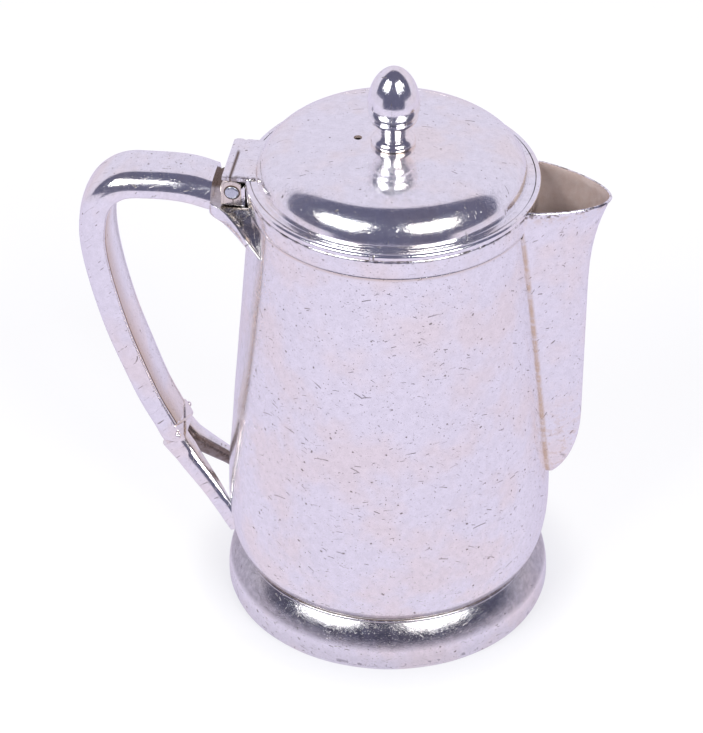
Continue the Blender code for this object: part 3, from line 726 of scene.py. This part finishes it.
spout_mesh = make_spout()
on_pot("spout_walls", spout_mesh, SPOUT, "spout_shell")
spout_mesh.materials.append(SPOUT_INSIDE)
spout_mesh.materials.append(LIP)
ring_size = 2 * SPOUT_COUNT + 1
for face in spout_mesh.polygons:
    first = min(face.vertices)
    if first >= ring_size * FIRST_INSIDE_RING:
        face.material_index = 1
    elif first >= ring_size * FIRST_LIP_RING:
        face.material_index = 2

# ---------------------------------------------------------------- handle

STRAP_ROUTE = [
    Vector(p)
    for p in (
        (-51.2, 131.4),
        (-60, 133.4),
        (-70, 133.5),
        (-76.5, 132.5),
        (-80.6, 128.4),
        (-82.2, 122.4),
        (-82.5, 114),
        (-80.7, 102),
        (-77, 86.8),
        (-72.7, 73.7),
        (-68, 60.8),
        (-63.1, 50.6),
    )
]
THICK = [(0, 8.0), (0.2, 7.6), (0.4, 8.75), (0.65, 8.6), (1, 8.0)]
HALF = [(0, 8.9), (0.12, 9.1), (0.28, 9.4), (0.45, 9.2), (0.75, 7.9), (1, 7.1)]


def strap_section(centre, outward, half, thick, corner=5.5, back=40.0, bottom=1.0):
    """A channel with upright sides, round shoulders and a slightly crowned back."""
    low = thick - back + math.sqrt((back - corner) ** 2 - (half - corner) ** 2)
    tilt = math.asin((half - corner) / (back - corner))
    side = [(half, bottom + (low - bottom) * k / 4) for k in range(4)]
    side += [(half - corner + x, low + z) for x, z in arc((0, 0), corner, 0, 90 - math.degrees(tilt), 10)]
    crest = back * math.sin(tilt)
    side += [(x, thick - back + math.sqrt(back**2 - x * x)) for x in (crest * k / 4 for k in (3, 2, 1))]
    loop = [(-x, out) for x, out in side] + [(0.0, thick)] + list(reversed(side))
    return [Vector((centre.x + outward.x * out, y, centre.y + outward.y * out)) for y, out in loop]


strap_path = spline(STRAP_ROUTE, 8)
strap_normals = normals_of(strap_path)
# the strap starts square to the mount, and turns to its own slope
strap_normals[0] = Vector((0, 1))
for k in range(1, 8):
    strap_normals[k] = (strap_normals[0] * (1 - k / 8) + strap_normals[k] * (k / 8)).normalized()
last = len(strap_path) - 1
channel, strip = [], []
for i, (centre, outward) in enumerate(zip(strap_path, strap_normals)):
    t = i / last
    half, thick = blend(HALF, t), blend(THICK, t)
    loop = strap_section(centre, outward, half, thick)
    # a rounded lip, a step in to the groove, and the hidden floor under the cover strip
    tail = []
    lip = [(half - 1.0 + p[0], 1.0 + p[1]) for p in arc((0, 0), 1.0, -18, -90, 4)]
    lip += [(half - 1.3, 0.06), (half - 1.4, 0.6)]
    for y, out in lip + [(-y, out) for y, out in reversed(lip)]:
        spot = centre + outward * out
        tail.append(Vector((spot.x, y, spot.y)))
    channel.append(loop + tail)
    cover = []
    reach = half - 1.65
    face = ((-reach, 0.1), (0.25 - reach, 0.0), (0, -0.05), (reach - 0.25, 0.0), (reach, 0.1))
    for y, out in (*face, (reach, 0.7), (-reach, 0.7)):
        spot = centre + outward * (out - 0.1)
        cover.append(Vector((spot.x, y, spot.y)))
    strip.append(cover)
on_pot("handle_channel", skin(channel), HANDLE, "handle_shell")
on_pot("handle_cover", skin(strip), STRAP, "handle_cover_strip")

FORK_ROUTE = [(-61.6, 47.6), (-59.1, 43.8), (-55.9, 39.7), (-52, 35.2)]
FORK_ROUTE += [(-48.4, 30.8), (-45.2, 26), (-42.5, 21)]
FORK = [Vector(p) for p in FORK_ROUTE]
wrap_start, wrap_end = STRAP_ROUTE[-1], FORK[0]
along = (wrap_end - wrap_start).normalized()
wrap_out = Vector((along.y, -along.x))
wrap = []
span = (wrap_end - wrap_start).length
SWELL = ((-0.3, -0.06), (-0.1, 0.04), (0.15, 0.1), (0.5, 0.12), (0.85, 0.1), (1.1, 0.04), (1.3, -0.06))
for share, swell in SWELL:
    centre = wrap_start + along * (span * share)
    wrap.append(strap_section(centre, wrap_out, 7.12 + swell, 7.95 + swell, bottom=-0.12))
on_pot("waist_band", skin(wrap), HANDLE, "handle_wrap")
# two raised strands that cross on the inner face
for name, flip in (("waist_strand_a", 1), ("waist_strand_b", -1)):
    route = []
    for k in range(21):
        t = k / 20
        across = (t - 0.5) * 2
        rise = flip * (t - 0.5) * 5.6
        base = wrap_start + along * (span * 0.5 - rise)
        spot = base - wrap_out * (0.22 - 0.3 * across**4)
        route.append(Vector((spot.x, across * 6.7, spot.y)))
    on_pot(name, tube(route, 0.4, taper=0.75), STRAP)
middle = wrap_start + along * (span * 0.5) + wrap_out * 0.5
for word, side in (("front", -1), ("rear", 1)):
    bm = bmesh.new()
    bmesh.ops.create_uvsphere(bm, u_segments=32, v_segments=20, radius=1.0 * MM)
    at = (AXIS_X + middle.x * MM, side * 7.95 * MM, middle.y * MM)
    bmesh.ops.translate(bm, verts=bm.verts, vec=at)
    on_pot("waist_bead_" + word, mesh_of(bm), BRIGHT, "handle_bead_" + word)

fork_path = spline(FORK, 8)
fork_normals = normals_of(fork_path)
last = len(fork_path) - 1
MIDDLES = [(0, 3.6), (0.2, 4.1), (0.45, 7.2), (0.7, 10.4), (0.88, 12.3), (1, 13.0)]
ARM_HALF = [(0, 3.6), (0.2, 3.4), (0.45, 2.5), (0.7, 1.75), (0.88, 1.1), (1, 0.5)]
ARM_THICK = [(0, 7.9), (0.35, 6.6), (0.7, 5.4), (1, 4.2)]


def bar_section(centre, outward, middle_y, half, thick, power=3.0, count=32):
    """A bar with its four edges rounded."""
    loop = []
    for i in range(count):
        a = 2 * math.pi * (i + 0.5) / count
        c, s = math.cos(a), math.sin(a)
        across = math.copysign(abs(c) ** (2 / power), c)
        out = thick / 2 * (1 + math.copysign(abs(s) ** (2 / power), s))
        spot = centre + outward * out
        loop.append(Vector((spot.x, middle_y - half * across, spot.y)))
    return loop


def straight(stations, t):
    """The value at t, on a straight line from one (t, value) station to the next."""
    for (start, low), (end, high) in zip(stations, stations[1:]):
        if t <= end:
            return low + (high - low) * (t - start) / (end - start)
    return stations[-1][1]


for word, side, metal in (("front", -1, HANDLE), ("rear", 1, REAR_ARM)):
    rings = []
    for i, (centre, outward) in enumerate(zip(fork_path, fork_normals)):
        t = i / last
        middle_y = side * straight(MIDDLES, t)
        rings.append(bar_section(centre, outward, middle_y, straight(ARM_HALF, t), straight(ARM_THICK, t)))
    on_pot("fork_arm_" + word, skin(rings), metal, "handle_prong_" + word)

# ---------------------------------------------------------------- upper mount

LOW_EDGE = [
    Vector(p)
    for p in (
        (-51.4, 0, 131.2),
        (-51.4, 5, 131.2),
        (-51.3, 9.2, 130.7),
        (-47.0, 12, 129.6),
        (-42.8, 16, 128.6),
        (-39.1, 20, 127.6),
        (-34.2, 24, 126.2),
    )
]
SADDLE_TOP = 134.5
RISE = [(0, 3.3), (9.2, 3.9), (12, 4.2), (16, 3.6), (20, 2.5), (24, 0.5)]


def saddle_rings():
    """Sections of the mount from one point to the other, each from the wall out, up and back."""
    half = spline(LOW_EDGE, 8)
    spots = [Vector((p.x, -p.y, p.z)) for p in reversed(half[1:])] + half
    rings = []
    for p in spots:
        away = abs(p.y)
        rise = straight(RISE, min(24.0, away))
        body_x = -wall_x(min(away, 33), 131.0, 0.6)
        top = min(SADDLE_TOP, p.z + rise)
        out_x = min(p.x, body_x - 0.4)
        run = body_x - out_x
        hollow = 0.9 * min(1.0, run / 8) * min(1.0, max(0.0, away - 6) / 6)
        ring = [(body_x, p.z + 0.2), (out_x + 0.35 * run, p.z - 0.1)]
        ring += [(out_x + 0.25, p.z), (out_x, p.z + 0.25)]
        for k in (0.25, 0.5, 0.75):
            ring.append((out_x - 0.12 * math.sin(math.pi * k), p.z + 0.25 + (top - p.z - 0.5) * k))
        ring += [(out_x, top - 0.25), (out_x + 0.12, top - 0.05), (out_x + 0.35, top)]
        for k in (0.15, 0.35, 0.55, 0.75, 0.9):
            ring.append((out_x + 0.35 + (run - 0.35) * k, top - hollow * math.sin(math.pi * k)))
        ring.append((body_x, top))
        rings.append([(x, p.y, z) for x, z in ring])
    return rings


on_pot("upper_mount", skin(saddle_rings(), angle=50), CAST, "handle_saddle")

# ---------------------------------------------------------------- hinge


def bevelled(name, outline, y0, y1, width, material, *nodes):
    """A plate with an (x, z) outline from y0 to y1, with its edges eased."""
    rings = [[(x, y, z) for x, z in outline] for y in (y0, y1)]
    piece = on_pot(name, skin(rings, angle=30), material, *nodes)
    modifier = piece.modifiers.new("ease", "BEVEL")
    modifier.width = width * MM
    modifier.segments = 3
    modifier.limit_method = "ANGLE"
    modifier.angle_limit = math.radians(40)
    settle(piece, 30)


def knuckle_outline():
    """Flat below and at both sides, with a round top about the pin."""
    start = math.degrees(math.acos(-KNUCKLE_BACK / KNUCKLE_CROWN))
    end = math.degrees(math.acos(KNUCKLE_FRONT / KNUCKLE_CROWN))
    top = arc((PIN_X, PIN_Z), KNUCKLE_CROWN, start, end, 24)
    return [(PIN_X - KNUCKLE_BACK, KNUCKLE_FOOT), *top, (PIN_X + KNUCKLE_FRONT, KNUCKLE_FOOT)]


KNUCKLE_BACK, KNUCKLE_FRONT, KNUCKLE_CROWN, KNUCKLE_FOOT = 3.3, 2.6, 3.75, 134.8
WEB_X = PIN_X + 2.3
web = ((WEB_X, 134.6), (WEB_X, 140.3), (-41.4, 141.2), (-40.9, 141.2), (-40.9, 134.6))
bevelled("knuckle_front", knuckle_outline(), -10.1, -6.0, 0.35, KNUCKLE, "hinge_knuckle_front")
bevelled("knuckle_rear", knuckle_outline(), 6.0, 10.1, 0.35, KNUCKLE, "hinge_knuckle_rear")
# solder that fills the corner between each knuckle and the collar
bevelled("knuckle_web_front", web, -9.7, -6.1, 0.4, CAST)
bevelled("knuckle_web_rear", web, 6.1, 9.7, 0.4, CAST)


def pin_bar(stations):
    """A round bar about the pin, through (y, radius) stations."""
    rings = []
    for y, radius in stations:
        rings.append([(x, y, z) for x, z in arc((PIN_X, PIN_Z), radius, 0, 351, 39)])
    return skin(rings, angle=50)


pin = pin_bar([(-10.4, 0.525), (-10.36, 1.05), (-10.2, 1.5), (10.2, 1.5), (10.36, 1.05), (10.4, 0.525)])
link("pivot_pin", pin, "pot_body", "pin_metal", PIN_METAL, "hinge_pin")
for side, word in ((-1, "front"), (1, "rear")):
    # the pin's peened end: a low dome in a dark ring
    dome = ((10.05, 2.0), (10.4, 2.0), (10.55, 1.85), (10.62, 1.3), (10.66, 0.5))
    end = pin_bar([(side * y, radius) for y, radius in dome])
    link("pin_end_" + word, end, "pot_body", "pin_metal", PIN_METAL)
    route = [Vector((x, side * 10.12, z)) for x, z in arc((PIN_X, PIN_Z), 2.15, 0, 360, 40)]
    on_pot("pin_ring_" + word, tube(route, 0.2, 8), GAP_DARK)

# lid leaf: a plate over the pin, with the middle knuckle hanging under it
LEAF_HALF, LEAF_TOP, LEAF_UNDER = 10.4, 144.7, 143.3
LEAF_OUTER_X = PIN_X - 2.9
LEAF_INNER_R = 39.0
# how far the top lies below LEAF_TOP, by step from the outer edge: a round edge, then a groove
LEAF_DROPS = {0: 0.5, 1: 0.1, 4: 0.35}


def leaf_mesh():
    """A plate whose inner edge follows the lid's dome."""
    bm = bmesh.new()
    top, low = [], []
    for y_step in range(-16, 17):
        y = LEAF_HALF * y_step / 16
        inner_x = -math.sqrt(LEAF_INNER_R**2 - y * y)
        t_row, l_row = [], []
        for k in range(13):
            x = LEAF_OUTER_X + (inner_x - LEAF_OUTER_X) * k / 12
            z = LEAF_TOP - LEAF_DROPS.get(k, 0.0)
            if abs(y_step) == 16:
                z -= 0.25
            t_row.append(bm.verts.new((AXIS_X + x * MM, y * MM, z * MM)))
            l_row.append(bm.verts.new((AXIS_X + x * MM, y * MM, LEAF_UNDER * MM)))
        top.append(t_row)
        low.append(l_row)
    for rows in (top, low):
        for a, b in zip(rows, rows[1:]):
            for k in range(12):
                bm.faces.new((a[k], a[k + 1], b[k + 1], b[k]))
    for a, b, c, d in zip(top, top[1:], low, low[1:]):
        bm.faces.new((a[0], b[0], d[0], c[0]))
        bm.faces.new((a[12], b[12], d[12], c[12]))
    for end in (0, -1):
        for k in range(12):
            bm.faces.new((top[end][k], top[end][k + 1], low[end][k + 1], low[end][k]))
    return mesh_of(bm, 30)


on_lid("lid_leaf", leaf_mesh(), HINGE, "lid_hinge_leaf")
on_lid("leaf_knuckle", pin_bar([(-5.6, 2.6), (5.6, 2.6)]), HINGE)
neck = ((-1.7, 140.3), (1.7, 140.3), (1.9, 143.5), (-1.9, 143.5))
on_lid("leaf_neck", skin([[(PIN_X + x, y, z) for x, z in neck] for y in (-5.5, 5.5)]), HINGE)

# ---------------------------------------------------------------- lid

DOME_TOP, CROWN_RADIUS, CROWN_DROP = 154.4, 31.06, 1.3
SHOULDER_R, SHOULDER_Z, SHOULDER_CURVE = 28.64, 143.4, 10.0


def dome_z(r, inset=0.0):
    """A shallow crown that turns down over a round shoulder. inset gives the inner side."""
    if r <= CROWN_RADIUS:
        return DOME_TOP - inset - CROWN_DROP * (r / CROWN_RADIUS) ** 5.0
    curve = SHOULDER_CURVE - inset
    return SHOULDER_Z + math.sqrt(max(0.0, curve**2 - (r - SHOULDER_R) ** 2))


crown = [CROWN_RADIUS * k / 16 for k in range(17)]
dome = [(r, dome_z(r)) for r in crown]
dome += [(SHOULDER_R + p[0], SHOULDER_Z + p[1]) for p in arc((0, 0), SHOULDER_CURVE, 76, 5, 26)]
dome += [(38.63, 144.22), (38.7, 144.17), (38.82, 144.14), (39.0, 144.12), (39.3, 144.12)]
dome += [(40.5, 144.1), (40.6, 143.9), (40.6, 142.8)]
inner_curve = SHOULDER_CURVE - SHEET
under = [(SHOULDER_R + p[0], SHOULDER_Z + p[1]) for p in arc((0, 0), inner_curve, 1, 76, 16)]
under += [(r, dome_z(r, SHEET)) for r in reversed(crown)]
lid_mesh = lathe(dome + under, closed=False, wobble=0.12, wobble_size=16, seed=2)
lid_piece = on_lid("lid_dome_fine", lid_mesh, LID, "lid_dome")
vent = bmesh.new()
rod(vent, 1.2, 12, 32, (-10.2, 0.9, 154))
cut(lid_piece, vent, SPOUT_INSIDE)
wire = [(40.7, 142.5), (40.7, 143.4)] + arc((41.25, 143.35), 0.9, 125, 0, 10)
wire += [(42.15, 143.0)] + arc((41.75, 142.85), 0.4, 0, -90, 4)
on_lid("lid_rim_roll", lathe(wire, wobble=0.05, seed=6), LID, "lid_rim_wire")
bezel = [(38.65, 142.7), (38.65, 137.3), (38.45, 136.8), (38.1, 136.6)]
bezel += [(37.8, 136.7), (37.7, 137.2), (37.7, 142.7)]
on_lid("lid_inner_ring", lathe(bezel, 192), LID, "lid_bezel")

# ---------------------------------------------------------------- finial

ACORN_R, ACORN_MIDDLE, ACORN_RISE = 7.45, 167.0, 12.0
acorn = [(0.0, ACORN_MIDDLE + ACORN_RISE)]
for k in range(1, 20):
    a = math.pi / 2 * (1 - k / 20)
    acorn.append((ACORN_R * math.cos(a) ** 1.12, ACORN_MIDDLE + ACORN_RISE * math.sin(a)))
acorn += [(ACORN_R, ACORN_MIDDLE), (7.42, 166.2), (7.3, 165.4), (7.1, 164.7), (6.9, 164.25)]
acorn += [(6.6, 164.0), (0.0, 163.9)]
acorn_mesh = lathe(acorn, 128, closed=False, wobble=0.05, wobble_size=6)
link("acorn", acorn_mesh, "lid", "bright_silver", BRIGHT, "finial_acorn")
stem = [
    (0.0, 163.85), (6.4, 163.85), (6.85, 163.7), (7.0, 163.4), (6.95, 163.05), (6.7, 162.4),
    (6.2, 161.6), (5.5, 160.8), (4.8, 160.2), (4.4, 159.9), (4.3, 159.7), (4.45, 159.55), (4.5, 159.35),
    (4.35, 159.15), (4.15, 159.0), (4.1, 158.8), (4.25, 158.65), (4.4, 158.5), (4.4, 158.3),
    (4.25, 158.15), (4.1, 158.0), (4.1, 157.8), (4.35, 157.5), (5.0, 157.15), (5.65, 156.7),
    (6.15, 156.15), (6.4, 155.6), (6.45, 155.1), (6.2, 154.7), (5.7, 154.5), (2.0, 154.42),
    (2.0, 147.8), (0.0, 147.8),
]
stem_mesh = lathe(stem, 128, closed=False, angle=60)
link("finial_turning", stem_mesh, "lid", "bright_silver", BRIGHT, "finial_stem")

# pieces carried over from the frame as they are
for node in ("base_plate", "finial_washer", "finial_nut"):
    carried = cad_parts[node]
    carried.data.materials.clear()
    carried.data.materials.append(INSIDE if node == "base_plate" else PIN_METAL)

# ---------------------------------------------------------------- floor, lights, camera


ROOM = (0.72, 0.665, 0.805, 1)
ROOM_DARK = (0.128, 0.126, 0.205, 1)
ROOM_SHEET = (0.745, 0.70, 0.845, 1)
SHEET_LEAN = math.radians(68)
VIEW_TURN = math.radians(8)


def make_floor():
    """A white sheet, dimmed near the pot by a painted contact shadow. The pot mirrors it in the lilac of
    the studio's shade.
    """
    material = bpy.data.materials.new("floor_white")
    material.use_nodes = True
    shader = material.node_tree.nodes["Principled BSDF"]
    shader.inputs["Base Color"].default_value = (0.24, 0.24, 0.245, 1)
    shader.inputs["Roughness"].default_value = 1.0
    shader.inputs["Specular IOR Level"].default_value = 0.0
    n = Nodes(material.node_tree)
    seen = n.add("ShaderNodeLightPath").outputs["Is Camera Ray"]
    place = n.vector("SUBTRACT", n.add("ShaderNodeTexCoord").outputs["Object"], (AXIS_X, 0.0, 0.0))
    away = n.vector("LENGTH", place)
    # painted contact shadow: the white seen by the camera dims from 0.80 to 0.66 within 66 mm of the pot's
    # axis
    white = n.mix(n.ramp(away, 0.046, 0.066), (0.66, 0.66, 0.68, 1), (0.80, 0.80, 0.80, 1))
    n.put(shader.inputs["Emission Color"], n.mix(seen, (0.50, 0.445, 0.585, 1), white))
    shader.inputs["Emission Strength"].default_value = 1.0
    bm = bmesh.new()
    bmesh.ops.create_circle(bm, cap_ends=True, segments=128, radius=0.62)
    mesh = bpy.data.meshes.new("floor")
    bm.to_mesh(mesh)
    bm.free()
    mesh.materials.append(material)
    floor = bpy.data.objects.new("floor", mesh)
    bpy.context.scene.collection.objects.link(floor)


make_floor()


def softbox(name, azimuth, elevation=37, distance=2.0, width=1.0, height=0.85, power=25):
    """An area light. azimuth is measured from the camera's side, positive to the right."""
    a = VIEW_TURN + math.radians(azimuth)
    e = math.radians(elevation)
    light = bpy.data.lights.new(name, "AREA")
    light.shape = "RECTANGLE"
    light.size = width
    light.size_y = height
    light.energy = power
    lamp = bpy.data.objects.new(name, light)
    target = Vector((AXIS_X, 0, 0.1))
    toward = Vector((math.sin(a) * math.cos(e), -math.cos(a) * math.cos(e), math.sin(e)))
    lamp.location = target + distance * toward
    lamp.rotation_euler = (lamp.location - target).to_track_quat("Z", "Y").to_euler()
    bpy.context.scene.collection.objects.link(lamp)


softbox("softbox_left", -45)
softbox("softbox_right", 37)


def make_world():
    """White where the camera sees it. In reflections it is a lilac room, with the dark part of it
    in front of the pot."""
    world = bpy.data.worlds.new("studio")
    bpy.context.scene.world = world
    world.use_nodes = True
    tree = world.node_tree
    tree.nodes.clear()
    n = Nodes(tree)
    out = n.add("ShaderNodeOutputWorld")
    back = n.add("ShaderNodeBackground")
    tree.links.new(back.outputs[0], out.inputs[0])
    direction = n.add("ShaderNodeTexCoord").outputs["Generated"]
    x, y, z = n.split(direction)
    # distance in front of a white sheet that leans back from the floor behind the pot
    c, s = math.cos(VIEW_TURN), math.sin(VIEW_TURN)
    depth = n.math("ADD", n.math("MULTIPLY", x, -s), n.math("MULTIPLY", y, c))
    back_part = n.math("MULTIPLY", depth, math.sin(SHEET_LEAN))
    lean = n.math("SUBTRACT", back_part, n.math("MULTIPLY", z, math.cos(SHEET_LEAN)))
    colour = n.mix(n.ramp(lean, -0.03, 0.03), ROOM_DARK, ROOM_SHEET)
    # beyond the sheet's front edge the room is dark below the horizon too
    ahead = n.ramp(depth, -0.62, -0.72)
    low = n.math("MULTIPLY", n.ramp(z, -0.02, 0.02, 1.0, 0.0), n.math("SUBTRACT", 1.0, ahead))
    colour = n.mix(low, colour, ROOM)
    seen = n.add("ShaderNodeLightPath").outputs["Is Camera Ray"]
    colour = n.mix(seen, colour, (1.0, 1.0, 1.0, 1))
    n.put(back.inputs["Color"], colour)
    back.inputs["Strength"].default_value = 1.0


make_world()


def make_camera():
    """36 degrees down, with a long lens, a little to the spout's side."""
    yaw, pitch, roll = -0.0134379, 0.6307178, -0.005365
    level = math.cos(pitch)
    forward = Vector((math.sin(yaw) * level, math.cos(yaw) * level, -math.sin(pitch)))
    right0 = Vector((math.cos(yaw), -math.sin(yaw), 0))
    down0 = forward.cross(right0)
    right = right0 * math.cos(roll) + down0 * math.sin(roll)
    down = down0 * math.cos(roll) - right0 * math.sin(roll)
    turn = Matrix.Rotation(VIEW_TURN, 3, "Z")
    place = turn @ Vector((0, -0.850, 0.696708))
    right, up, back = turn @ right, turn @ -down, turn @ -forward
    camera = bpy.data.cameras.new("camera")
    camera.sensor_fit = "AUTO"
    camera.sensor_width = 36
    camera.lens = 3570.37 * 36 / 733
    camera.clip_start = 0.01
    camera.clip_end = 50
    body = bpy.data.objects.new("camera", camera)
    matrix = Matrix((right, up, back)).transposed().to_4x4()
    matrix.translation = place + Vector((AXIS_X, 0, 0))
    body.matrix_world = matrix
    bpy.context.scene.collection.objects.link(body)
    bpy.context.scene.camera = body


make_camera()
bpy.context.scene.view_settings.view_transform = "Standard"
